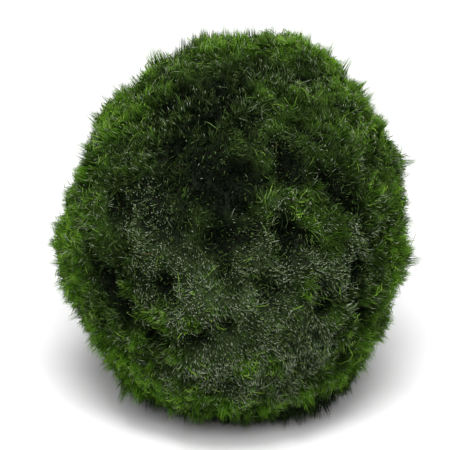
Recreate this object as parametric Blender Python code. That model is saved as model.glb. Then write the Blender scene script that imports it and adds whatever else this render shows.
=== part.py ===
"""Marimo moss ball: a ball of fine green algae threads, a little taller than it is wide.

It grew as one piece, so it is one solid, out to the tips of its threads: a rounded body with lumps, felted
cushions, tufts, folds and pits, which rests on a small flat spot. Metres, +Z up, front towards -Y. The origin
is on the floor, under the middle of the ball's box.

Azimuth is in degrees from the front (-Y) round to the right (+X), and elevation is in degrees above the level
of the ball's middle.
"""

import bmesh
import bpy
import math
from mathutils import Vector, geometry, noise

MM = 0.001

# Overall size, measured across the tips of the threads
WIDTH = 50.0 * MM
DEPTH = 49.0 * MM
HEIGHT = 55.5 * MM
MEAN_RADIUS = (WIDTH + DEPTH + HEIGHT) / 6

# The soft ball sags on its underside: a low ring bulges. Elevation, spread in degrees, rise
SAG_ELEVATION, SAG_SPREAD, SAG = -48.0, 20.0, 1.2 * MM

# How much of the round underside the flat resting spot takes off
FOOT_CUT = 0.85 * MM
# The relief fades out over this height above the resting spot
FOOT_FADE = 3.5 * MM

# Corner points of the facets, which lie 1.5 mm apart on the surface
SURFACE_POINTS = 4650
GOLDEN_ANGLE = math.pi * (3.0 - math.sqrt(5.0))

# Broad swells: azimuth, elevation, spread in degrees, rise
SWELLS = (
    (-123, 53, 24, -3.1 * MM),  # left shoulder slopes away
    (-121, 52, 8, -1.1 * MM),  # with a dip in it
    (-136, 61, 7, 0.2 * MM),  # and a crown above the dip
    (-98, 16, 17, -4.1 * MM),  # and stays flat down the left side
    (-93, 7, 6, -0.6 * MM),  # with a notch above the hip
    (-90, -6, 11, 1.6 * MM),  # left hip
    (-74, -34, 16, -1.7 * MM),  # drawn in under the hip
    (-34, -63, 14, -1.9 * MM),  # drawn in again, left of the foot
    (133, 58, 24, 0.3 * MM),  # right shoulder
    (-180, 68, 11, -1.3 * MM),  # the top is flattish
    (108, 38, 14, -0.6 * MM),  # dip below the right shoulder
    (98, 15, 10, -0.5 * MM),  # and lower down
    (84, -20, 13, -0.5 * MM),  # drawn in at the right
    (66, -44, 14, 0.4 * MM),  # lower right
    (2, -4, 26, 0.5 * MM),  # matted front
    (172, 20, 24, 0.9 * MM),  # back
    (-160, -30, 22, -0.9 * MM),  # hollow low on the back
)

# Folds, where cushions of threads meet: azimuth and elevation at each end, half width, depth
FOLDS = (
    (20, 40, 23, 31, 1.5 * MM, 1.9 * MM),  # right of the middle
    (36, 28, 40, 21, 1.6 * MM, 2.0 * MM),  # right
    (44, 19, 52, 13, 1.5 * MM, 1.4 * MM),  # from there on to the right edge
    (15, 17, 24, 12, 1.6 * MM, 2.1 * MM),  # under the ledge on the right
    (24, 12, 31, 8, 1.4 * MM, 1.1 * MM),  # the same ledge, further right
    (-44, 9, -42, 2, 1.5 * MM, 1.3 * MM),  # down the left
    (-44, -4, -42, -8, 1.6 * MM, 2.2 * MM),  # left of the matted front
    (-36, -11, -34, -15, 1.2 * MM, 1.0 * MM),  # a smaller one, further down
    (-23, 1, -17, -2, 1.4 * MM, 1.4 * MM),  # in the front, left
    (-10, -16, -3, -10, 1.4 * MM, 1.5 * MM),  # in the front, low
    (-8, 12, 0, 17, 1.4 * MM, 1.1 * MM),  # middle
    (-4, 2, 3, 4, 1.4 * MM, 1.1 * MM),  # below the middle
    (-20, 64, -3, 56, 1.5 * MM, 1.5 * MM),  # under the top
    (-38, 52, -28, 57, 1.5 * MM, 1.5 * MM),  # upper left
    (-22, 46, -7, 48, 1.4 * MM, 1.2 * MM),  # high on the left
    (-9, 38, -7, 27, 2.0 * MM, 1.5 * MM),  # long dark hollow above the middle
    (3, 35, 3, 29, 1.8 * MM, 1.7 * MM),  # the hollow beside it
    (7, 48, 7, 42, 1.4 * MM, 1.2 * MM),  # high in the middle
    (33, 46, 37, 40, 1.4 * MM, 1.3 * MM),  # high on the right
    (150, 40, 175, 34, 1.6 * MM, 1.5 * MM),  # back, high
    (-150, 8, -128, 2, 1.5 * MM, 1.4 * MM),  # back, left
    (118, -10, 140, -20, 1.6 * MM, 1.4 * MM),  # back, right
)

# Pits: azimuth, elevation, radius, depth
PITS = (
    (51, 59, 1.7 * MM, 1.5 * MM),  # upper right
    (-45, 19, 1.6 * MM, 1.2 * MM),  # left
    (-37, 18, 1.5 * MM, 1.1 * MM),  # beside it
    (43, 1, 2.1 * MM, 2.0 * MM),  # right of the matted front
    (37, -5, 1.4 * MM, 1.1 * MM),  # below it
    (31, -7, 1.7 * MM, 1.8 * MM),  # in the front, right
    (48, -16, 1.8 * MM, 1.8 * MM),  # lower right
    (48, -24, 1.5 * MM, 1.2 * MM),  # below it
    (55, 5, 1.7 * MM, 1.3 * MM),  # far right
    (-26, -18, 1.8 * MM, 1.5 * MM),  # lower left
    (-25, 40, 1.6 * MM, 1.3 * MM),  # upper left
    (57, 29, 1.6 * MM, 1.1 * MM),  # right shoulder
    (8, 69, 1.6 * MM, 1.1 * MM),  # close to the top
    (-174, 68, 2.1 * MM, 1.6 * MM),  # notch between the two crowns
    (-170, 5, 1.9 * MM, 1.8 * MM),  # back
    (100, 5, 1.8 * MM, 1.4 * MM),  # right side
    (-90, -32, 1.8 * MM, 1.3 * MM),  # left side, low
)

# Relief that covers the whole ball: size of one feature, height
ROLL_SIZE, ROLL_HEIGHT = 13.0 * MM, 1.1 * MM
CUSHION_SIZE, CUSHION_HEIGHT = 7.5 * MM, 1.2 * MM
TUFT_SIZE, TUFT_HEIGHT = 3.8 * MM, 1.3 * MM
# How far the cushions' edges wander, so that none is straight
WANDER_SIZE, WANDER = 6.0 * MM, 1.4 * MM
# How quickly a cushion rises from the crease round it, as a share of its size
CREASE = 0.32
# How far each corner point moves towards the middle of its neighbours, so that no crease is jagged
SOFTENING = 0.5

MOSS_GREEN = (0.030, 0.055, 0.014, 1.0)
MOSS_ROUGHNESS = 0.85


def direction(azimuth, elevation):
    """The unit vector from the middle of the ball at these angles, in degrees."""
    a = math.radians(azimuth)
    e = math.radians(elevation)
    return Vector((math.sin(a) * math.cos(e), -math.cos(a) * math.cos(e), math.sin(e)))


def bell(distance, spread):
    """1 at no distance, falling smoothly to nearly nothing at twice the spread."""
    return math.exp(-((distance / spread) ** 2))


def on_spiral(index):
    """The unit vector of one point of a golden spiral, which spaces points evenly over a sphere."""
    z = 1.0 - (2.0 * index + 1.0) / SURFACE_POINTS
    ring = math.sqrt(1.0 - z * z)
    turn = GOLDEN_ANGLE * index
    return Vector((ring * math.cos(turn), ring * math.sin(turn), z))


def swell(way):
    """The rise of the broad swells and of the sagging underside."""
    elevation_here = math.degrees(math.asin(min(max(way.z, -1.0), 1.0)))
    sag = SAG * bell(elevation_here - SAG_ELEVATION, SAG_SPREAD)
    return sag + sum(
        rise * bell(math.degrees(way.angle(direction(azimuth, elevation))), spread)
        for azimuth, elevation, spread, rise in SWELLS
    )


def sunken(way):
    """The depth of the folds and pits. Where they meet, the deepest one counts."""
    depths = [0.0]
    for start_azimuth, start_elevation, end_azimuth, end_elevation, half_width, depth in FOLDS:
        start = direction(start_azimuth, start_elevation)
        end = direction(end_azimuth, end_elevation)
        along = geometry.intersect_point_line(way, start, end)[1]
        nearest = start.lerp(end, min(max(along, 0.0), 1.0))
        depths.append(depth * bell((way - nearest).length * MEAN_RADIUS, half_width))
    for azimuth, elevation, radius, depth in PITS:
        distance = way.angle(direction(azimuth, elevation)) * MEAN_RADIUS
        depths.append(depth * bell(distance, radius))
    return max(depths)


def cushions(point, size, height):
    """The rise of felted cushions with creases between them. Nothing on average."""
    nearest, second = noise.voronoi(point / size)[0][:2]
    return height * (0.5 - math.exp(-(second - nearest) / CREASE))


def relief(point, way):
    """How far the surface stands out from the plain body at this point."""
    rolls = ROLL_HEIGHT * noise.fractal(point / ROLL_SIZE, 1.0, 2.0, 3)
    wandered = point + WANDER * noise.noise_vector(point / WANDER_SIZE)
    felt = cushions(wandered, CUSHION_SIZE, CUSHION_HEIGHT)
    tufts = cushions(wandered, TUFT_SIZE, TUFT_HEIGHT)
    return swell(way) + rolls + felt + tufts - sunken(way)


def body_point(way):
    """The point of the ball's surface in this direction from its middle."""
    half = Vector((WIDTH, DEPTH, HEIGHT + FOOT_CUT)) / 2
    point = way * half
    outwards = Vector((way.x / half.x, way.y / half.y, way.z / half.z)).normalized()
    above_foot = point.z + half.z - FOOT_CUT
    share = min(max(above_foot / FOOT_FADE, 0.0), 1.0)
    return point + outwards * relief(point, way) * share


def cut_foot(ball):
    """Takes the underside off flat and closes it with one face."""
    height = FOOT_CUT - (HEIGHT + FOOT_CUT) / 2
    everything = ball.verts[:] + ball.edges[:] + ball.faces[:]
    cut = bmesh.ops.bisect_plane(
        ball, geom=everything, plane_co=(0, 0, height), plane_no=(0, 0, -1), clear_outer=True
    )
    rim = [item for item in cut["geom_cut"] if isinstance(item, bmesh.types.BMEdge)]
    bmesh.ops.contextual_create(ball, geom=rim)


def fit_to_size(ball):
    """Stretches the ball slightly to its measured box, over the origin, with the foot at zero."""
    for axis, size, lowest in ((0, WIDTH, -WIDTH / 2), (1, DEPTH, -DEPTH / 2), (2, HEIGHT, 0.0)):
        places = [vertex.co[axis] for vertex in ball.verts]
        low = min(places)
        stretch = size / (max(places) - low)
        for vertex in ball.verts:
            vertex.co[axis] = lowest + (vertex.co[axis] - low) * stretch


def moss_material():
    material = bpy.data.materials.new("moss")
    material.use_nodes = True
    shader = material.node_tree.nodes["Principled BSDF"]
    shader.inputs["Base Color"].default_value = MOSS_GREEN
    shader.inputs["Roughness"].default_value = MOSS_ROUGHNESS
    shader.inputs["Metallic"].default_value = 0.0
    return material


def build_moss_ball():
    ball = bmesh.new()
    for index in range(SURFACE_POINTS):
        ball.verts.new(on_spiral(index))
    bmesh.ops.convex_hull(ball, input=ball.verts[:])
    for vertex in ball.verts:
        vertex.co = body_point(vertex.co.normalized())
    bmesh.ops.smooth_vert(
        ball, verts=ball.verts[:], factor=SOFTENING, use_axis_x=True, use_axis_y=True, use_axis_z=True
    )
    cut_foot(ball)
    fit_to_size(ball)
    bmesh.ops.recalc_face_normals(ball, faces=ball.faces[:])
    mesh = bpy.data.meshes.new("moss_ball")
    ball.to_mesh(mesh)
    ball.free()
    mesh.shade_smooth()
    mesh.materials.append(moss_material())
    bpy.context.scene.collection.objects.link(bpy.data.objects.new("moss_ball", mesh))


for old in list(bpy.data.objects):
    bpy.data.objects.remove(old)
build_moss_ball()
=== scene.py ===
"""The looks of the marimo moss ball, in metres, +Z up, front towards -Y.

A body of felt lies inside the ball's plain solid, and fine threads grow from it out to the solid's surface,
where their tips end. On most of the ball they stand in pointed tufts, with soft fur, sprays of light threads
and a fine fringe between them, and on the underside they hang down and are painted darker, as shade. In
mats, the largest of them on the front, short threads lie flat in swirls. Every thread is a closed,
three-sided mesh that ends in a point. Light and shade are also painted into the tones: shade in hollows, in
folds, between clumps and on the underside, rim light towards the outline, and glints on pale tips.

Azimuth is in degrees from the front round to the right, and elevation in degrees above the level of the
ball's middle. Each thread carries two numbers: tone, which picks its colours, and along, which runs from 0 at
its root to 1 at its tip.
"""

import math
from types import SimpleNamespace

import bpy
import numpy as np
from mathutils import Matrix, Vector, kdtree


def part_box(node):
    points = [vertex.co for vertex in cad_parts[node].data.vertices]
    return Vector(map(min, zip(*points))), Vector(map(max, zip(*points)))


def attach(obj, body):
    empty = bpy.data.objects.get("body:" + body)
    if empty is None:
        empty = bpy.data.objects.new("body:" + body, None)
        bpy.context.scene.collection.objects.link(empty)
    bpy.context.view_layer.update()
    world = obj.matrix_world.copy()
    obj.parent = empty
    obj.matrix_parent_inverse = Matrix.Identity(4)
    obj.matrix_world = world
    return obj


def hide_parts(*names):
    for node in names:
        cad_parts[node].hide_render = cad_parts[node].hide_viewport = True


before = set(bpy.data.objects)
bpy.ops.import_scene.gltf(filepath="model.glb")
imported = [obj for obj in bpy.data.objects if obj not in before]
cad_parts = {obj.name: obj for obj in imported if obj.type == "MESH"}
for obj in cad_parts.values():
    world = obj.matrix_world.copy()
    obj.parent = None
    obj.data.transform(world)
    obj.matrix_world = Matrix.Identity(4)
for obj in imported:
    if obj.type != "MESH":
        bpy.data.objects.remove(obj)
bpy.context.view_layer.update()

MM = 0.001
SEED = 20

LOW, HIGH = (np.array(corner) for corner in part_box("moss_ball"))
MIDDLE = (LOW + HIGH) / 2
HALF = (HIGH - LOW) / 2

# Mats, where threads lie flat: azimuth, elevation, spread in degrees
MATS = (
    (9, -12, 28),  # front
    (-16, 1, 16),  # its left arm
    (30, -2, 14),  # its right arm
    (-28, 20, 9),  # above the left arm
    (48, 9, 8),  # right, above the front
    (150, -12, 28),  # back, low
    (-140, 20, 24),  # back, left
    (96, 20, 12),  # right side
)
MAT_EDGE = 0.35  # how ragged the mats' edges are

# Sprouts of bright threads that stand out further, which also break through the mats: azimuth, elevation
SPROUTS = (
    # front, right
    (24, 24), (28, 16), (16, 10), (32, 10), (24, -2), (36, -11), (44, -24), (53, 12), (64, 3), (59, 19),
    # front, left
    (-53, 15), (-34, -3), (-31, -8), (-22, -9), (-12, -14),
    # front, low
    (5, -25), (15, -25), (32, -43), (-20, -24), (-31, -22), (-6, -40),
    # upper left
    (-29, 43), (-10, 44), (-34, 49), (-25, 52), (-57, 39), (-56, 52),
    # top
    (16, 83), (-34, 78), (175, 68), (-157, 66), (-154, 66), (147, 64),
    # right side
    (110, 30), (107, 37), (102, 27), (97, 17), (92, 4), (83, -18), (76, -32), (79, 43), (76, 34),
    # left side
    (-90, 2), (-90, -1), (-105, 32), (-113, 44), (-80, -22), (-69, -41),
    # back
    (150, -8), (165, -20), (-140, 12), (-150, 40),
)
SPROUT_SPREAD = 3.4

# The front is dark and matted. Away from the middle of it the threads are painted brighter, as rim light that
# shines through them towards the outline: azimuth and elevation of that middle, the angles from it in degrees
# between which the painted light grows, change of tone
RIM_LIGHT_FROM = (0.0, 22.0)
RIM_LIGHT_ANGLES = (52.0, 86.0)
RIM_LIGHT = 0.34

# Where threads are brighter or darker: azimuth, elevation, spread in degrees, change of tone. Some of them
# paint shade, in the hole at the left, the valley below it, a hollow and among the sprouts of the lower left,
# and some paint rim light at the sides and light at the top
SHADES = (
    (-3, 32, 13, -0.28),  # dark above the middle
    (-20, 40, 10, -0.16),  # further to the upper left
    (-6, 54, 10, -0.19),  # under the top
    (-4, 14, 12, -0.16),  # middle
    (-30, 20, 11, -0.10),  # left of the middle
    (-43, -7, 5.0, -0.60),  # painted shade in the hole at the left
    (-36, -13, 3.2, -0.35),  # painted shade in the valley below it
    (-27, -18, 3.2, -0.30),  # and on along it, to the right, painted shade
    (-42, 4, 6, -0.12),  # left
    (-14, -2, 16, 0.10),  # left arm of the front
    (12, -26, 16, 0.05),  # low front
    (-20, -3, 3.0, -0.30),  # painted shade above the sprouts of the lower left
    (-10, -15, 2.5, -0.20),  # painted shade beside the lowest of them
    (-25, -6, 4.0, -0.12),  # painted shade among them
    (-6, 17, 4.5, 0.12),  # left arm, towards the middle
    (-5, 81, 8.0, 0.18),  # painted light at the top, towards the outline
    (46, -8, 8, -0.10),  # right of the front
    (31, -7, 4, -0.20),  # in the front, right
    (41, 23, 5, -0.22),  # right
    (48, 9, 6, -0.14),  # right, above the front
    (-66, 46, 10, 0.24),  # painted rim light at the upper left, at the side
    (-37, 55, 3.5, -0.22),  # painted shade in a hollow at the upper left
    (-17, 63, 4.0, -0.15),  # to the right of it
    (26, 37, 4.0, -0.15),  # upper right, above the folds
    (76, 38, 9, 0.14),  # painted rim light at the upper right, at the side
    (-68, 2, 12, 0.22),  # painted rim light at the left side
    (-60, -34, 12, 0.16),  # painted rim light at the left side, low
    (64, 42, 12, 0.02),  # right shoulder
    (-25, -50, 14, 0.13),  # underside
    (20, -50, 12, 0.03),  # underside, right
    (56, -36, 12, -0.12),  # right side, low
    (27, 19, 7, -0.08),  # under the right folds
    (62, 22, 7, 0.06),  # far right
)

# Tones, which the materials turn into colours: from 0, nearly black, through greens to the brightest green,
# then greys, whose grey partly paints the sheen of wet threads, pale, which paints glints on the tips, and
# straw to brown
PLAIN_TONE = 0.275
BRIGHTEST = 0.68
GREY_TONE = 0.81
GREYS = (0.74, 0.88)
GLINT_TONE = 0.93
STRAWS = (0.96, 1.0)
STRAW_SHARE = 0.001

# How far below the ball's smooth form hollows begin and where they are full, in millimetres
HOLLOW_DEPTHS = (0.1, 0.8)

# How far down the outward direction points where the underside starts and where it is full, where threads
# hang down and are painted darker as shade, and the same for the zone towards the floor where threads are
# shorter and the felt is drawn in
UNDERSIDE = (0.53, 0.64)
NEAR_FLOOR = (0.55, 0.82)

# Sizes of the ball's random features
PATCH_SIZE = 5.0 * MM
SPOT_SIZE = 2.0 * MM
CLUMP_SIZE = 1.7 * MM
LUMP_SIZE = 0.8 * MM
SWIRL_SIZE = 6.0 * MM  # the sweeps that the mats' threads lie in
CURL_SIZE = 0.95 * MM  # the small curls of the mats
CURL_WANDER = 0.5 * MM
WANDER_SIZE = 1.5 * MM

BODY_DEPTH = (0.97 * MM, 0.87 * MM)  # below the solid's surface, in tufts and in mats
TUFT_SPACING = 3.0 * MM
LOCK_SPACING = 1.15 * MM
CURL_SPACING = 0.6 * MM  # the locks of the mats
POINT_SPACING = 1.5 * MM  # the pointed tips of the fringe
SPRAY_SPACING = 1.5 * MM  # the sprays of light threads
FLOOR_GAP = 0.02 * MM
SHORTEST = 0.3 * MM  # least height of a thread's tip above its root
HIGHEST = 1.5 * MM  # most that a thread's tip stands above the solid's surface, before its lock rises
BAKE_HALF_WIDTH = 0.002  # half of what a thread takes of the baked picture's width

# The camera: degrees above the level, millimetres, the picture's side in pixels, the size of a pixel at the
# ball and where the middle of the ball lies in the picture
ELEVATION = 22.0
LENS = 150.0
SENSOR = 36.0
FRAME_PIXELS = 450
PIXEL = 0.1397 * MM
BALL_AT = (230.0, 221.0)

# Soft oval lights, aimed at the ball from in front: name, elevation, width, height, power in watts
LIGHT_DISTANCE = 4.0
LIGHTS = (
    ("high_light", 65.0, 2.0, 1.3, 156.0),
    ("low_light", 44.0, 3.8, 2.6, 222.0),
)
SURROUND = 0.03
FLOOR_HALF = 3.0
FLOOR_GREY = 0.72


def unit(vectors):
    """Vectors scaled to length 1."""
    return vectors / np.maximum(np.linalg.norm(vectors, axis=-1, keepdims=True), 1e-12)


def mixed(low, high, share):
    """Between low and high."""
    return low + (high - low) * share


def smooth_step(low, high, values):
    """0 below low and 1 above high, smooth between them."""
    share = np.clip((values - low) / (high - low), 0.0, 1.0)
    return share * share * (3.0 - 2.0 * share)


def ripples(points, size, seed, waves=28):
    """A smooth random field, about -1 to 1, whose features are about this size: a sum of plane waves."""
    rng = np.random.default_rng(seed)
    ways = unit(rng.normal(size=(waves, 3))) * rng.uniform(0.6, 1.4, (waves, 1)) * (math.pi / size)
    phases = rng.uniform(0.0, 2.0 * math.pi, waves)
    return np.cos(points @ ways.T + phases).sum(axis=1) * math.sqrt(2.0 / waves) / 1.6


def direction(azimuth, elevation):
    """The unit vector from the middle of the ball at these angles, in degrees."""
    a = math.radians(azimuth)
    e = math.radians(elevation)
    return np.array((math.sin(a) * math.cos(e), -math.cos(a) * math.cos(e), math.sin(e)))


def outwards(points):
    """The broad outward direction at points near the surface, as on a plain egg."""
    return unit((points - MIDDLE) / HALF**2)


def degrees_from(points, azimuth, elevation):
    """How far points on the ball lie from this place, in degrees."""
    ways = unit((points - MIDDLE) / HALF)
    return np.degrees(np.arccos(np.clip(ways @ direction(azimuth, elevation), -1.0, 1.0)))


def bell_at(points, azimuth, elevation, spread):
    """1 at this place of the surface, and a half at this spread in degrees from it."""
    apart = degrees_from(points, azimuth, elevation)
    return np.exp(-((apart / spread) ** 2) * math.log(2.0))


def kinds_of_ground(points, heights):
    """How much each point belongs to a hollow, a sprout and a mat, each from 0 to 1."""
    hollow = smooth_step(*HOLLOW_DEPTHS, -heights / MM)
    sprout = np.max([bell_at(points, *place, SPROUT_SPREAD) for place in SPROUTS], axis=0)
    sprout = smooth_step(0.25, 0.75, sprout + 0.2 * ripples(points, SPOT_SIZE, seed=3))
    mat = np.max([bell_at(points, *place) for place in MATS], axis=0)
    mat += MAT_EDGE * (0.5 * ripples(points, PATCH_SIZE, seed=1) + 0.3 * ripples(points, SPOT_SIZE, seed=2))
    return hollow, sprout, smooth_step(0.38, 0.62, mat) * (1.0 - hollow) * (1.0 - sprout)


def underside(out):
    """How much each outward direction belongs to the underside, painted darker as shade, from 0 to 1.

    It starts lower down in front, at the back and where the sides face outwards.
    """
    shift = np.interp(out[:, 1], (-0.8, -0.3, 0.1), (-0.2, 0.0, -0.1))
    sides = np.maximum(np.abs(out[:, 0]) - 0.65, 0.0)
    return smooth_step(*UNDERSIDE, shift - 0.3 * sides - out[:, 2])


def curls_between(points):
    """How dark the mats are painted between their curls of threads, as shade: 0 on a curl, 1 between curls.
    """
    wander = [CURL_WANDER * ripples(points, WANDER_SIZE, seed) for seed in (41, 42, 43)]
    return smooth_step(0.15, 0.75, ripples(points + np.stack(wander, axis=1), CURL_SIZE, seed=44))


def clumps(points):
    """Small standing clumps, a little taller than wide, from about -1 between them to 1 on them."""
    return ripples(points * np.array((1.0, 1.0, 0.65)), CLUMP_SIZE, seed=31)


def local_tone(points):
    """How much brighter or darker each point is, and how much painted rim light falls there, from 0 to 1."""
    rim_lit = smooth_step(*RIM_LIGHT_ANGLES, degrees_from(points, *RIM_LIGHT_FROM))
    return sum(change * bell_at(points, *place) for *place, change in SHADES) + RIM_LIGHT * rim_lit, rim_lit


def ground_at(points, heights):
    """What the ball is like at points of its surface, from how far each stands above its smooth form.

    hollow, sprout, mat, between (the curls of the mats), under (the underside, where threads hang down and
    painted shade darkens them), low (towards the floor) and the painted rim light go from 0 to 1, and clump
    from about -1 between small clumps to 1 on them. local and the relief are changes of tone, the second
    painted shade in folds and painted light on lumps, by how far the point stands out. shaded is how dark a
    hollow is painted, as shade. Relief and hollows change the tone less where the painted rim light falls.
    """
    out = outwards(points)
    hollow, sprout, mat = kinds_of_ground(points, heights)
    local, rim_lit = local_tone(points)
    contrast = 1.0 - 0.6 * rim_lit
    return SimpleNamespace(
        points=points,
        out=out,
        hollow=hollow,
        sprout=sprout,
        mat=mat,
        between=curls_between(points) * mat,
        clump=clumps(points),
        under=underside(out),
        low=smooth_step(*NEAR_FLOOR, -out[:, 2]),
        rim_lit=rim_lit,
        local=local,
        relief_shading=0.2 * np.clip(heights / MM, -0.8, 0.5) * contrast,
        shaded=hollow * contrast,
    )


def only(ground, kept):
    """What the ball is like at the kept points only."""
    return SimpleNamespace(**{name: values[kept] for name, values in vars(ground).items()})


def ground_tone(ground, change):
    """The tone of what grows at each point, with this change to it, and painted darker in hollows as shade.
    """
    patches = 0.06 * ripples(ground.points, PATCH_SIZE, seed=21)
    spots = 0.05 * ripples(ground.points, SPOT_SIZE, seed=22)
    return PLAIN_TONE + change + patches + spots + 0.11 * ground.sprout - 0.34 * ground.shaded


class Surface:
    """The solid's surface, welded, with how far it stands out at each point and the area of each triangle."""

    def __init__(self):
        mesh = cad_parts["moss_ball"].data
        places = np.empty(len(mesh.vertices) * 3, np.float32)
        mesh.vertices.foreach_get("co", places)
        mesh.calc_loop_triangles()
        triangles = np.empty(len(mesh.loop_triangles) * 3, np.int32)
        mesh.loop_triangles.foreach_get("vertices", triangles)
        places = places.reshape(-1, 3).astype(float)
        rounded = np.round(places / (0.001 * MM)).astype(np.int64)
        kept, same = np.unique(rounded, axis=0, return_index=True, return_inverse=True)[1:]
        self.points = places[kept]
        self.triangles = same.ravel()[triangles.reshape(-1, 3)]
        self.heights = self.heights_above_round()
        a, b, c = self.points[self.triangles].transpose(1, 0, 2)
        self.areas = np.linalg.norm(np.cross(b - a, c - a), axis=1) / 2

    def heights_above_round(self, rounds=14):
        """How far each point stands above the ball's smooth form, in metres: below 0 in folds and pits."""
        ways = self.points - MIDDLE
        stand = np.linalg.norm(ways, axis=1) * (1.0 - 1.0 / np.linalg.norm(ways / HALF, axis=1))
        pairs = np.concatenate([self.triangles[:, [i, (i + 1) % 3]] for i in range(3)])
        pairs = np.concatenate([pairs, pairs[:, ::-1]])
        count = np.bincount(pairs[:, 0])
        broad = stand
        for _ in range(rounds):
            broad = (np.bincount(pairs[:, 0], broad[pairs[:, 1]]) / count + broad) / 2
        return stand - broad

    def finer(self):
        """Points, heights and triangles of the surface with one more point in the middle of each edge."""
        edges = np.sort(np.concatenate([self.triangles[:, [i, (i + 1) % 3]] for i in range(3)]), axis=1)
        pairs, which = np.unique(edges, axis=0, return_inverse=True)
        points = np.concatenate([self.points, self.points[pairs].mean(axis=1)])
        heights = np.concatenate([self.heights, self.heights[pairs].mean(axis=1)])
        a, b, c = self.triangles.T
        ab, bc, ca = which.reshape(3, -1) + len(self.points)
        parts = ((a, ab, ca), (ab, b, bc), (ca, bc, c), (ab, bc, ca))
        return points, heights, np.concatenate([np.stack(part, axis=1) for part in parts])

    def scatter(self, count, rng):
        """Points spread evenly over the surface, and how far the surface stands out at each."""
        order = rng.permutation(len(self.triangles))
        upto = np.cumsum(self.areas[order])
        at = (np.arange(count) + rng.uniform(size=count)) / count * upto[-1]
        chosen = self.triangles[order[np.searchsorted(upto, at).clip(0, len(order) - 1)]]
        one, two = rng.uniform(size=(2, count))
        over = one + two > 1.0
        one, two = np.where(over, 1.0 - one, one), np.where(over, 1.0 - two, two)
        weights = np.stack([1.0 - one - two, one, two], axis=1)
        points = (self.points[chosen] * weights[:, :, None]).sum(axis=1)
        heights = (self.heights[chosen] * weights).sum(axis=1)
        return points, heights


def strand_mesh(name, spines, thickness, tones, kind, rng):
    """One mesh of closed, three-sided threads.

    spines is (threads, places, 3) with the tip last, and thickness (threads,) the radius where a thread is
    thickest.
    """
    threads, places = spines.shape[:2]
    rings = places - 1
    chord = unit(spines[:, -1] - spines[:, 0])
    side = unit(np.cross(chord, unit(rng.normal(size=(threads, 3)))))
    other = np.cross(chord, side)
    widths = np.array(kind["widths"])[None, :, None, None]
    angles = np.arange(3) * (2.0 * math.pi / 3.0)
    around = (
        np.cos(angles)[None, :, None] * side[:, None, :] + np.sin(angles)[None, :, None] * other[:, None, :]
    )
    ring_points = spines[:, :rings, None, :] + around[:, None] * thickness[:, None, None, None] * widths
    points = np.concatenate([ring_points.reshape(threads, rings * 3, 3), spines[:, -1:]], axis=1)
    points[:, :, 2] = np.maximum(points[:, :, 2], FLOOR_GAP)

    faces = [(0, 2, 1)]
    for ring in range(rings - 1):
        for corner in range(3):
            here, after = ring * 3 + corner, ring * 3 + (corner + 1) % 3
            faces += [(here, after, after + 3), (here, after + 3, here + 3)]
    last = (rings - 1) * 3
    faces += [(last + corner, last + (corner + 1) % 3, rings * 3) for corner in range(3)]
    each = rings * 3 + 1
    all_faces = np.array(faces)[None] + (np.arange(threads) * each)[:, None, None]

    mesh = bpy.data.meshes.new(name)
    mesh.from_pydata(points.reshape(-1, 3), [], all_faces.reshape(-1, 3))
    mesh.shade_smooth()
    along = np.append(np.repeat(kind["steps"][:-1], 3), 1.0)
    give_numbers(mesh, "tone", np.repeat(tones, each))
    give_numbers(mesh, "along", np.tile(along, threads))
    give_bake_map(mesh, tones, along)
    return mesh


def give_numbers(mesh, name, values):
    """A number for each point of the mesh."""
    mesh.attributes.new(name, "FLOAT", "POINT").data.foreach_set("value", values.astype(np.float32))


def give_bake_map(mesh, tones, along):
    """Lays each thread on the baked picture as a narrow upright strip, placed across it by its tone."""
    rings = (len(along) - 1) // 3
    shift = np.append(np.tile((-1.0, 0.0, 1.0), rings), 0.0) * BAKE_HALF_WIDTH
    across = (BAKE_HALF_WIDTH + (1.0 - 2.0 * BAKE_HALF_WIDTH) * tones)[:, None] + shift
    flat = np.stack([across, np.tile(along, (len(tones), 1))], axis=2)
    corners = np.empty(len(mesh.loops), np.int32)
    mesh.loops.foreach_get("vertex_index", corners)
    mesh.uv_layers.new(name="OFBake").uv.foreach_set(
        "vector", flat.reshape(-1, 2)[corners].astype(np.float32).ravel()
    )


def add_piece(name, mesh, material):
    """Puts a piece of the ball in the scene, in place of its plain solid."""
    mesh.materials.append(material)
    piece = bpy.data.objects.new(name, mesh)
    bpy.context.scene.collection.objects.link(piece)
    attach(piece, "root")
    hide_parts("moss_ball")


class Nodes:
    """Short ways to build a material's nodes."""

    def __init__(self, name):
        self.material = bpy.data.materials.new(name)
        self.material.use_nodes = True
        self.tree = self.material.node_tree
        self.shader = self.tree.nodes["Principled BSDF"]
        self.output = self.tree.nodes["Material Output"]

    def add(self, kind, **values):
        node = self.tree.nodes.new(kind)
        for key, value in values.items():
            setattr(node, key, value)
        return node

    def link(self, source, target):
        self.tree.links.new(source, target)

    def number(self, name):
        return self.add("ShaderNodeAttribute", attribute_name=name).outputs["Fac"]

    def ramp(self, source, *stops):
        """A colour ramp over the source, from (place, colour) stops."""
        node = self.add("ShaderNodeValToRGB")
        elements = node.color_ramp.elements
        while len(elements) < len(stops):
            elements.new(0.5)
        for element, (place, colour) in zip(elements, stops):
            element.position = place
            element.color = (*colour, 1.0)
        self.link(source, node.inputs["Fac"])
        return node.outputs["Color"]

    def mix(self, share, one, two):
        node = self.add("ShaderNodeMix", data_type="RGBA")
        self.link(share, node.inputs["Factor"])
        self.link(one, node.inputs["A"])
        self.link(two, node.inputs["B"])
        return node.outputs["Result"]

    def times(self, one, two):
        node = self.add("ShaderNodeMix", data_type="RGBA", blend_type="MULTIPLY")
        node.inputs["Factor"].default_value = 1.0
        self.link(one, node.inputs["A"])
        self.link(two, node.inputs["B"])
        return node.outputs["Result"]


def grey(value):
    return (value, value, value)


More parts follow.
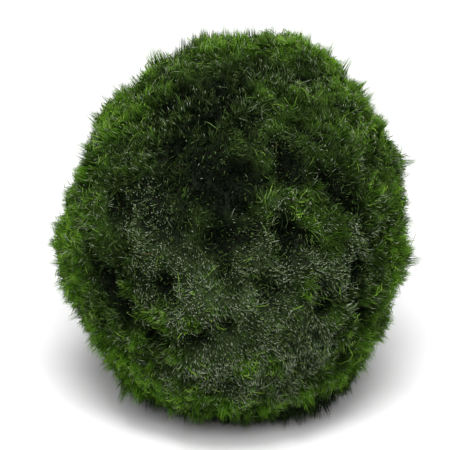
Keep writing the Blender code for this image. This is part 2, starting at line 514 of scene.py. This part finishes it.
def thread_material(name, translucency):
    """Wet, thin, translucent algae threads. Roots, stems and tips each take their colour from the tone."""
    nodes = Nodes(name)
    tone = nodes.number("tone")
    along = nodes.number("along")
    roots = nodes.ramp(
        tone,
        (0.00, (0.006, 0.010, 0.004)),
        (0.25, (0.020, 0.042, 0.007)),
        (0.50, (0.032, 0.078, 0.007)),
        (0.68, (0.060, 0.150, 0.008)),
        (0.80, (0.028, 0.044, 0.016)),
        (0.93, (0.030, 0.046, 0.018)),
        (1.00, (0.035, 0.020, 0.010)),
    )
    stems = nodes.ramp(
        tone,
        (0.00, (0.008, 0.015, 0.005)),
        (0.25, (0.042, 0.086, 0.014)),
        (0.50, (0.085, 0.180, 0.022)),
        (0.68, (0.160, 0.360, 0.028)),
        (0.76, (0.090, 0.135, 0.055)),
        (0.86, (0.188, 0.250, 0.130)),
        (0.93, (0.180, 0.225, 0.125)),
        (0.97, (0.200, 0.150, 0.060)),
        (1.00, (0.120, 0.060, 0.028)),
    )
    tips = nodes.ramp(
        tone,
        (0.00, (0.014, 0.024, 0.009)),
        (0.25, (0.065, 0.112, 0.032)),
        (0.45, (0.160, 0.250, 0.065)),
        (0.55, (0.240, 0.360, 0.085)),
        (0.68, (0.480, 0.720, 0.110)),
        (0.76, (0.165, 0.215, 0.110)),
        (0.86, (0.385, 0.455, 0.315)),
        (0.93, (0.680, 0.740, 0.620)),
        (0.97, (0.240, 0.180, 0.080)),
        (1.00, (0.150, 0.085, 0.042)),
    )
    # The threads are painted darker towards their roots, as the shade deep among them, and lighter at the
    # tips, partly as the glow of tips that light shines through; pale tones paint glints on the tips
    lower = nodes.ramp(along, (0.0, grey(0.0)), (0.25, grey(0.2)), (0.55, grey(1.0)))
    upper = nodes.ramp(along, (0.5, grey(0.0)), (0.75, grey(0.4)), (0.95, grey(1.0)))
    colour = nodes.mix(upper, nodes.mix(lower, roots, stems), tips)
    nodes.link(colour, nodes.shader.inputs["Base Color"])
    roughness = nodes.ramp(along, (0.0, grey(0.5)), (0.5, grey(0.3)), (1.0, grey(0.24)))
    nodes.link(roughness, nodes.shader.inputs["Roughness"])
    nodes.shader.inputs["Specular IOR Level"].default_value = 0.12
    through = nodes.add("ShaderNodeBsdfTranslucent")
    nodes.link(colour, through.inputs["Color"])
    both = nodes.add("ShaderNodeMixShader")
    both.inputs["Fac"].default_value = translucency
    nodes.link(nodes.shader.outputs["BSDF"], both.inputs[1])
    nodes.link(through.outputs["BSDF"], both.inputs[2])
    nodes.link(both.outputs["Shader"], nodes.output.inputs["Surface"])
    return nodes.material


def felt_material():
    """The felt between the threads: green where tufts grow, greyish in mats, nearly black in hollows.

    The grey partly paints the sheen of wet mats, and the black in hollows is painted shade.
    """
    nodes = Nodes("dark_felt")
    place = nodes.add("ShaderNodeTexCoord").outputs["Object"]
    fibres = nodes.add("ShaderNodeTexNoise")
    fibres.inputs["Scale"].default_value = 3400.0
    fibres.inputs["Detail"].default_value = 6.0
    fibres.inputs["Distortion"].default_value = 1.2
    nodes.link(place, fibres.inputs["Vector"])
    tone = nodes.number("tone")
    green = nodes.ramp(
        tone,
        (0.00, (0.006, 0.009, 0.004)),
        (0.25, (0.015, 0.030, 0.005)),
        (0.50, (0.026, 0.060, 0.006)),
        (0.68, (0.050, 0.125, 0.008)),
    )
    greyish = nodes.ramp(
        tone,
        (0.00, (0.006, 0.009, 0.004)),
        (0.25, (0.023, 0.038, 0.013)),
        (0.68, (0.056, 0.090, 0.030)),
    )
    strength = nodes.ramp(fibres.outputs["Fac"], (0.35, grey(0.35)), (0.65, grey(1.0)))
    colour = nodes.times(strength, nodes.mix(nodes.number("matted"), green, greyish))
    nodes.link(colour, nodes.shader.inputs["Base Color"])
    rough = nodes.ramp(fibres.outputs["Fac"], (0.3, grey(0.9)), (0.75, grey(0.55)))
    nodes.link(rough, nodes.shader.inputs["Roughness"])
    nodes.shader.inputs["Specular IOR Level"].default_value = 0.04
    bump = nodes.add("ShaderNodeBump")
    bump.inputs["Strength"].default_value = 0.6
    bump.inputs["Distance"].default_value = 0.15 * MM
    nodes.link(fibres.outputs["Fac"], bump.inputs["Height"])
    nodes.link(bump.outputs["Normal"], nodes.shader.inputs["Normal"])
    return nodes.material


def felt_body(surface, material):
    """The body that the threads grow from: the solid drawn in by the threads' depth, and finely lumpy."""
    points, heights, triangles = surface.finer()
    ground = ground_at(points, heights)
    # The relief paints shade in folds and light on lumps, the small clumps are painted lighter and the gaps
    # between them darker, and the felt is painted darker between the mats' curls and on the underside, as
    # shade
    change = ground.local + ground.relief_shading + (0.09 + 0.06 * ground.mat) * ground.clump
    tone = ground_tone(ground, change) - 0.2 * ground.between - 0.4 * ground.under
    depth = mixed(*BODY_DEPTH, ground.mat)
    depth += MM * (0.5 * ground.hollow + 0.15 * ground.between + 0.4 * ground.low)
    depth -= MM * (0.28 - 0.14 * ground.mat) * ground.clump
    depth -= MM * 0.10 * ripples(points, LUMP_SIZE, seed=5)
    points = points - ground.out * depth[:, None]
    points[:, 2] = np.maximum(points[:, 2], FLOOR_GAP)
    mesh = bpy.data.meshes.new("felt_body")
    mesh.from_pydata(points, [], triangles)
    mesh.shade_smooth()
    give_numbers(mesh, "tone", np.clip(tone, 0.0, BRIGHTEST))
    give_numbers(mesh, "matted", ground.mat)
    add_piece("felt_body", mesh, material)


def labels_by_nearest(points, centres):
    """The number of the centre that each point is nearest to."""
    tree = kdtree.KDTree(len(centres))
    for index, centre in enumerate(centres):
        tree.insert(centre, index)
    tree.balance()
    return np.array([tree.find(point)[1] for point in points])


def groups(surface, spacing, rng):
    """Centres spread over the surface, each with a lean, a reach and a tone for the threads nearest to it."""
    centres = surface.scatter(int(surface.areas.sum() / spacing**2), rng)[0]
    return {
        "centre": centres,
        "lean": rng.normal(size=(len(centres), 3)),
        "reach": rng.normal(size=len(centres)),
        "tone": rng.normal(size=len(centres)),
    }


def group_of_each(points, all_groups):
    """For each point, the label, centre, lean, reach and tone of the group nearest to it."""
    label = labels_by_nearest(points, all_groups["centre"])
    return SimpleNamespace(label=label, **{name: values[label] for name, values in all_groups.items()})


def group_means(values, label):
    """For each thread, the mean of its whole group's points."""
    members = np.maximum(np.bincount(label), 1)
    return np.stack([np.bincount(label, values[:, i]) / members for i in range(3)], axis=1)[label]


# Kinds of threads. share, root, tip and grey are pairs, for tufts and for mats
# steps: where along a thread its points lie, so two of them make a straight spike
# widths: how wide it is at each of them but the last, which is its tip
# share: at how many of the places scattered over the ball one grows
# root, tip: height above the solid's surface
# spread: how much the tips' height varies
# run: how far the tip lies from the root along the surface
# radius: the thread's radius where it is widest
# stray: how much single threads go their own way
# pull, gather: how far the tips of a lock draw together, and its roots
# rise: how much further out the place lies where the tips of a lock meet
# curl: how far a thread winds
# tone, vary: how much brighter the threads are, and how much that varies
# grey, pale: how many are greyish, and how many have pale tips, which paint glints
# hang: how much they hang down on the underside, longer and painted darker there as shade
# bunched: how much they keep to small clumps
PLAIN = {"pull": 0.0, "gather": 0.0, "rise": 0.0, "pale": 0.0, "hang": 0.0, "bunched": 0.0}

# Blades that meet in pointed tufts
TUFTS = {
    **PLAIN,
    "steps": (0.0, 0.6, 1.0), "widths": (0.9, 0.9), "radius": 0.064 * MM, "share": (1.0, 0.1),
    "root": (-1.6 * MM, -1.3 * MM), "tip": (-0.80 * MM, -0.35 * MM), "spread": 0.27 * MM, "run": 1.15 * MM,
    "stray": 0.45, "pull": 0.65, "rise": 0.3 * MM, "curl": 0.06 * MM,
    "tone": 0.04, "vary": 0.05, "grey": (0.10, 0.4),
}

# Straight, thicker threads that fill the tufts
FUR = {
    **PLAIN,
    "steps": (0.0, 1.0), "widths": (1.0,), "radius": 0.072 * MM, "share": (1.0, 0.15),
    "root": (-1.3 * MM, -1.2 * MM), "tip": (-0.74 * MM, -0.25 * MM), "spread": 0.30 * MM, "run": 0.95 * MM,
    "stray": 0.40, "pull": 0.50, "rise": 0.3 * MM, "curl": 0.02 * MM, "hang": 0.7,
    "tone": 0.05, "vary": 0.05, "grey": (0.10, 0.4),
}

# Sprays of thin, light threads, each from one place
SPRIGS = {
    **PLAIN,
    "steps": (0.0, 0.45, 0.8, 1.0), "widths": (0.8, 1.0, 0.8), "radius": 0.050 * MM, "share": (1.0, 0.30),
    "root": (-1.3 * MM, -1.1 * MM), "tip": (-0.58 * MM, -0.1 * MM), "spread": 0.28 * MM, "run": 1.5 * MM,
    "stray": 0.90, "gather": 0.8, "curl": 0.10 * MM, "bunched": 1.0,
    "tone": 0.18, "vary": 0.08, "grey": (0.16, 0.5), "pale": 0.03,
}

# A fine fringe that meets in sharp points, and hangs down on the underside
FRINGE = {
    **PLAIN,
    "steps": (0.0, 1.0), "widths": (1.0,), "radius": 0.047 * MM, "share": (1.0, 0.15),
    "root": (-1.1 * MM, -1.0 * MM), "tip": (-0.55 * MM, -0.10 * MM), "spread": 0.50 * MM, "run": 0.60 * MM,
    "stray": 0.35, "pull": 0.60, "rise": 1.4 * MM, "curl": 0.02 * MM, "hang": 1.0,
    "tone": 0.12, "vary": 0.06, "grey": (0.0, 0.3),
}

# Short threads that lie flat in the mats
GRAINS = {
    **PLAIN,
    "steps": (0.0, 1.0), "widths": (1.0,), "radius": 0.082 * MM, "share": (0.14, 1.0),
    "root": (-0.85 * MM, -0.85 * MM), "tip": (-0.24 * MM, -0.14 * MM), "spread": 0.16 * MM, "run": 0.47 * MM,
    "stray": 0.40, "pull": 0.1, "curl": 0.05 * MM, "bunched": 0.4,
    "tone": 0.04, "vary": 0.10, "grey": (0.6, 0.68), "pale": 0.03,
}

# Short threads that stand up in the mats, many with pale tips that paint glints
GLINT_BEADS = {
    **PLAIN,
    "steps": (0.0, 0.55, 1.0), "widths": (0.7, 1.0), "radius": 0.072 * MM, "share": (0.16, 1.0),
    "root": (-0.7 * MM, -0.7 * MM), "tip": (-0.14 * MM, -0.04 * MM), "spread": 0.14 * MM, "run": 0.20 * MM,
    "stray": 0.6, "curl": 0.03 * MM, "bunched": 0.6,
    "tone": -0.02, "vary": 0.10, "grey": (0.7, 0.8), "pale": 0.62,
}

# Single long threads that wind over the mats
STRAYS = {
    **PLAIN,
    "steps": (0.0, 0.2, 0.4, 0.6, 0.8, 1.0), "widths": (0.9, 1.0, 1.0, 1.0, 0.8), "radius": 0.048 * MM,
    "share": (0.3, 1.0), "root": (-0.9 * MM, -0.9 * MM), "tip": (-0.1 * MM, -0.1 * MM),
    "spread": 0.15 * MM, "run": 2.0 * MM, "stray": 0.8, "curl": 0.10 * MM,
    "tone": 0.05, "vary": 0.1, "grey": (0.2, 0.5),
}


def places_to_grow(surface, count, kind, rng):
    """The ground where threads of this kind grow: fewer between clumps and between the mats' curls."""
    ground = ground_at(*surface.scatter(count, rng))
    bunches = smooth_step(-0.3, 0.6, ground.clump)
    share = mixed(*kind["share"], ground.mat) * mixed(1.0, bunches, kind["bunched"])
    kept = rng.uniform(size=count) < share
    kept &= rng.uniform(size=count) > 0.75 * ground.between
    return only(ground, kept)


def upright_tangent(out):
    """The direction along the surface that leads most steeply up, and at the very top towards the back."""
    up = np.array((0.0, 0.0, 1.0)) - out * out[:, 2:]
    return unit(up + np.array((0.0, 0.02, 0.0)))


def ways_along(ground, kind, tuft, lock, rng):
    """Which way each thread runs along the surface, and how strongly: mostly up in tufts, round in mats."""
    out = ground.out
    up = upright_tangent(out)
    across = np.cross(up, out)
    climb = smooth_step(-0.9, -0.1, out[:, 2]) * 1.2 - 0.4 - 1.5 * ground.under * kind["hang"]
    lean = 0.7 * up * climb[:, None] + 0.7 * tuft.lean + 0.5 * lock.lean
    turn = 1.7 * ripples(ground.points, SWIRL_SIZE, seed=11)
    turn += 0.9 * ripples(ground.points, SPOT_SIZE, seed=12)
    swirl = np.cos(turn)[:, None] * across + np.sin(turn)[:, None] * up + 0.3 * lock.lean
    ways = mixed(lean, swirl, ground.mat[:, None]) + kind["stray"] * rng.normal(size=out.shape)
    ways -= out * (ways * out).sum(axis=1)[:, None]
    strength = np.linalg.norm(ways, axis=1)
    return unit(ways) * np.clip(strength, 0.35, 1.3)[:, None]


def roots_and_tips(ground, kind, tuft, lock, ways, rng):
    """Where each thread starts and ends."""
    count = len(ground.points)
    mat = ground.mat
    hang = kind["hang"] * ground.under
    reach = kind["spread"] * rng.normal(size=count)
    reach += MM * (0.28 * tuft.reach + 0.30 * lock.reach) * (1.0 - 0.8 * mat)
    reach += MM * (0.6 * ground.sprout - 0.6 * ground.hollow - 0.75 * ground.low)
    reach += MM * (0.95 * hang + 0.25 * ground.clump * (1.0 - 0.7 * mat))
    root = mixed(*kind["root"], mat)
    tip = np.clip(mixed(*kind["tip"], mat) + reach, root + SHORTEST, HIGHEST)
    run = kind["run"] * rng.uniform(0.6, 1.3, count) * (1.0 - 0.3 * ground.low + 1.1 * hang)
    roots = ground.points + ground.out * root[:, None] * rng.uniform(0.85, 1.0, (count, 1))
    tips = ground.points + ground.out * tip[:, None] + ways * run[:, None]

    rise = kind["rise"] * np.clip(0.7 + 0.5 * lock.reach, 0.0, 1.7)
    rise *= (1.0 - 0.7 * mat) * (1.0 - ground.hollow)
    meeting = group_means(tips, lock.label) + outwards(lock.centre) * rise[:, None]
    tips = mixed(tips, meeting, kind["pull"] * rng.uniform(0.3, 1.3, (count, 1)))
    roots = mixed(roots, group_means(roots, lock.label), kind["gather"])
    return roots, tips


def spines_between(roots, tips, out, ways, kind, rng):
    """Points along each thread (threads, places, 3), which bows outwards and back, and winds a little."""
    length = np.linalg.norm(tips - roots, axis=1)[:, None]
    spines = []
    for step in kind["steps"]:
        bow = 4.0 * step * (1.0 - step)
        curl = kind["curl"] * rng.normal(size=roots.shape) * min(step * 2.0, 1.0)
        spines.append(mixed(roots, tips, step) + (out * 0.18 - ways * 0.12) * bow * length + curl)
    return np.stack(spines, axis=1)


def tones_of(ground, kind, tuft, lock, rng):
    """Each thread's tone, by its kind, where it grows, and its tuft and lock."""
    count = len(ground.points)
    change = 0.06 * tuft.tone + 0.10 * lock.tone * (1.0 - 0.5 * ground.mat)
    # Painted light on the small clumps and painted shade between them, and painted shade on the underside,
    # more on threads that hang
    change += (0.05 + 0.07 * ground.mat) * ground.clump - (0.26 + 0.22 * kind["hang"]) * ground.under
    # The listed shades, the painted rim light and the relief also paint light and shade here
    change += ground.local + ground.relief_shading + kind["tone"] * np.clip(1.0 + 2.5 * ground.local, 0.25, 1.0)
    tone = np.clip(ground_tone(ground, change) + kind["vary"] * rng.normal(size=count), 0.0, BRIGHTEST)
    # Greyish threads, whose grey partly paints the sheen of wet mats, painted darker in hollows as shade;
    # fewer of them, and of the pale tips, grow where the painted rim light falls
    greyish = GREY_TONE + 0.045 * rng.normal(size=count) + 0.3 * change - 0.08 * ground.shaded
    dull = 1.0 - 0.8 * ground.rim_lit * (1.0 - ground.mat)
    grey_share = mixed(*kind["grey"], ground.mat) * dull * np.clip(1.0 + 1.8 * ground.local, 0.3, 1.0)
    tone = np.where(rng.uniform(size=count) < grey_share, np.clip(greyish, *GREYS), tone)
    # Pale tips paint glints, fewer in the painted shade of hollows
    glint_share = kind["pale"] * dull * np.clip(1.0 + 3.0 * ground.local - ground.shaded, 0.1, 1.0)
    tone = np.where(rng.uniform(size=count) < glint_share, GLINT_TONE, tone)
    return np.where(rng.uniform(size=count) < STRAW_SHARE, rng.uniform(*STRAWS, count), tone)


def grow(surface, count, seed, kind, tufts, locks):
    """Spines (threads, places, 3), thickness and tone of threads of one kind, all over the ball."""
    rng = np.random.default_rng(seed)
    ground = places_to_grow(surface, count, kind, rng)
    tuft = group_of_each(ground.points, tufts)
    lock = group_of_each(ground.points, locks)
    ways = ways_along(ground, kind, tuft, lock, rng)
    roots, tips = roots_and_tips(ground, kind, tuft, lock, ways, rng)
    spines = spines_between(roots, tips, ground.out, ways, kind, rng)
    thickness = kind["radius"] * rng.uniform(0.7, 1.25, len(roots)) * (1.0 - 0.2 * ground.hollow)
    return spines, thickness, tones_of(ground, kind, tuft, lock, rng)


def add_threads(surface):
    """All the threads, one piece for each kind and two for the fringe. All the threads,
    in pieces that stay under 200,000 triangles each.
    """
    rng = np.random.default_rng(SEED)
    tufts = groups(surface, TUFT_SPACING, rng)
    locks = groups(surface, LOCK_SPACING, rng)
    curls = groups(surface, CURL_SPACING, rng)
    fringe_points = groups(surface, POINT_SPACING, rng)
    sprays = groups(surface, SPRAY_SPACING, rng)
    plain = thread_material("algae_threads", 0.5)
    clear = thread_material("algae_tips", 0.8)
    pieces = (
        ("tufts", TUFTS, locks, plain, 17500),
        ("fur", FUR, locks, plain, 42500),
        ("sprigs", SPRIGS, sprays, plain, 17500),
        ("fringe_1", FRINGE, fringe_points, clear, 54000),
        ("fringe_2", FRINGE, fringe_points, clear, 54000),
        ("grains", GRAINS, curls, plain, 118000),
        ("glint_beads", GLINT_BEADS, curls, plain, 50000),
        ("stray_threads", STRAYS, locks, plain, 1200),
    )
    for index, (name, kind, members, material, count) in enumerate(pieces):
        spines, thickness, tones = grow(surface, count, SEED + 1 + index, kind, tufts, members)
        mesh = strand_mesh(name, spines, thickness, tones, kind, np.random.default_rng(SEED + 40 + index))
        add_piece(name, mesh, material)


def add_camera():
    """The camera in front of the ball, looking down at it."""
    data = bpy.data.cameras.new("camera")
    data.lens = LENS
    data.sensor_width = SENSOR
    camera = bpy.data.objects.new("camera", data)
    bpy.context.scene.collection.objects.link(camera)
    tilt = math.radians(ELEVATION)
    back = Vector((0.0, -math.cos(tilt), math.sin(tilt)))
    raised = Vector((0.0, math.sin(tilt), math.cos(tilt)))
    distance = FRAME_PIXELS * PIXEL * LENS / SENSOR
    aim = Vector(MIDDLE)
    aim.x -= (BALL_AT[0] - FRAME_PIXELS / 2) * PIXEL
    aim += raised * (BALL_AT[1] - FRAME_PIXELS / 2) * PIXEL
    camera.location = aim + back * distance
    camera.rotation_euler = (-back).to_track_quat("-Z", "Y").to_euler()
    data.clip_start = 0.01
    data.clip_end = 20.0
    bpy.context.scene.camera = camera


def add_light():
    """A dim surround and two large soft lights, one above the other, high in front."""
    world = bpy.data.worlds.new("surround")
    world.use_nodes = True
    background = world.node_tree.nodes["Background"]
    background.inputs["Color"].default_value = (1.0, 1.0, 1.0, 1.0)
    background.inputs["Strength"].default_value = SURROUND
    bpy.context.scene.world = world
    for name, elevation, width, height, power in LIGHTS:
        data = bpy.data.lights.new(name, "AREA")
        data.shape = "ELLIPSE"
        data.size = width
        data.size_y = height
        data.energy = power
        light = bpy.data.objects.new(name, data)
        bpy.context.scene.collection.objects.link(light)
        way = Vector(direction(0.0, elevation))
        light.location = Vector(MIDDLE) + way * LIGHT_DISTANCE
        light.rotation_euler = (-way).to_track_quat("-Z", "Y").to_euler()


def add_floor():
    """A plain pale floor."""
    mesh = bpy.data.meshes.new("floor")
    signs = ((-1, -1), (1, -1), (1, 1), (-1, 1))
    mesh.from_pydata([(x * FLOOR_HALF, y * FLOOR_HALF, 0.0) for x, y in signs], [], [(0, 1, 2, 3)])
    nodes = Nodes("floor")
    nodes.shader.inputs["Base Color"].default_value = (*grey(FLOOR_GREY), 1.0)
    nodes.shader.inputs["Roughness"].default_value = 0.9
    mesh.materials.append(nodes.material)
    floor = bpy.data.objects.new("floor", mesh)
    bpy.context.scene.collection.objects.link(floor)


add_camera()
solid = Surface()
felt_body(solid, felt_material())
add_threads(solid)
add_light()
add_floor()
bpy.context.scene.view_settings.view_transform = "Standard"
